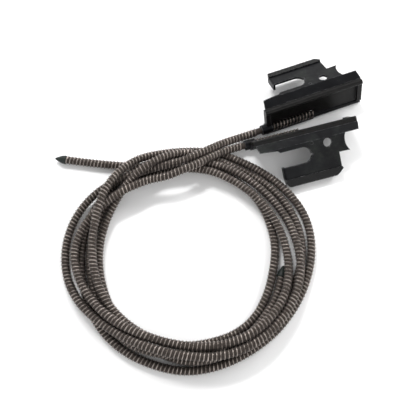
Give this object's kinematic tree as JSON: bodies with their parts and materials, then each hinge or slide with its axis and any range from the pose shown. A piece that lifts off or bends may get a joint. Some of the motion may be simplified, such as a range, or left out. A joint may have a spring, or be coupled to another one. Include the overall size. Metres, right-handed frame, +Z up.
{
  "type": "sunroof drive cable set",
  "caption": "Coiled sliding-roof drive cables, each a flocked helical wire rack crimped into a handed pressed steel guide bracket, with a pointed tip on the free end.",
  "frame": {"origin": "on the surface that the pair lies on, under the middle of the box round the two brackets", "axes": "+X right along the brackets, +Y back, +Z up"},
  "size_m": [0.2156, 0.2165, 0.0211],
  "materials": {
    "bracket_steel": "satin black electrocoat over pressed steel, worn grey on the rubbing edges",
    "liner_plastic": "black moulded nylon, satin",
    "shoe_plastic": "black moulded nylon, slightly polished by sliding",
    "ferrule_steel": "crimped sleeve, satin black",
    "drive_wire": "bare drawn wire with a brown oil film",
    "cable_flock": "brown-grey polyester flock between the wire turns",
    "tip_plastic": "black-green moulded end cap"
  },
  "bodies": {
    "root": {"cable_coil": "cable_flock", "left_cable_lead": "cable_flock", "right_cable_lead": "cable_flock", "free_cable_end": "cable_flock", "free_end_tip": "tip_plastic", "coiled_end_tip": "tip_plastic"},
    "left_bracket_body": {"left_bracket": "bracket_steel", "left_channel_liner": "liner_plastic", "left_arm_shoe": "shoe_plastic", "left_cable_ferrule": "ferrule_steel", "left_clamped_cable": "drive_wire"},
    "right_bracket_body": {"right_bracket": "bracket_steel", "right_channel_liner": "liner_plastic", "right_arm_shoe": "shoe_plastic", "right_cable_ferrule": "ferrule_steel", "right_clamped_cable": "drive_wire"}
  },
  "joints": [
    {"name": "left_cable_twist", "type": "hinge", "parent": "root", "child": "left_bracket_body", "pos_m": [-0.0264, -0.0046, 0.0042], "axis": [0.9361, 0.3518, 0], "range_deg": [-8, 20], "stiffness_Nm_per_rad": 1},
    {"name": "right_cable_twist", "type": "hinge", "parent": "root", "child": "right_bracket_body", "pos_m": [-0.0384, -0.0168, 0.0042], "axis": [-0.9632, -0.2689, 0], "range_deg": [0, 20], "stiffness_Nm_per_rad": 1}
  ]
}
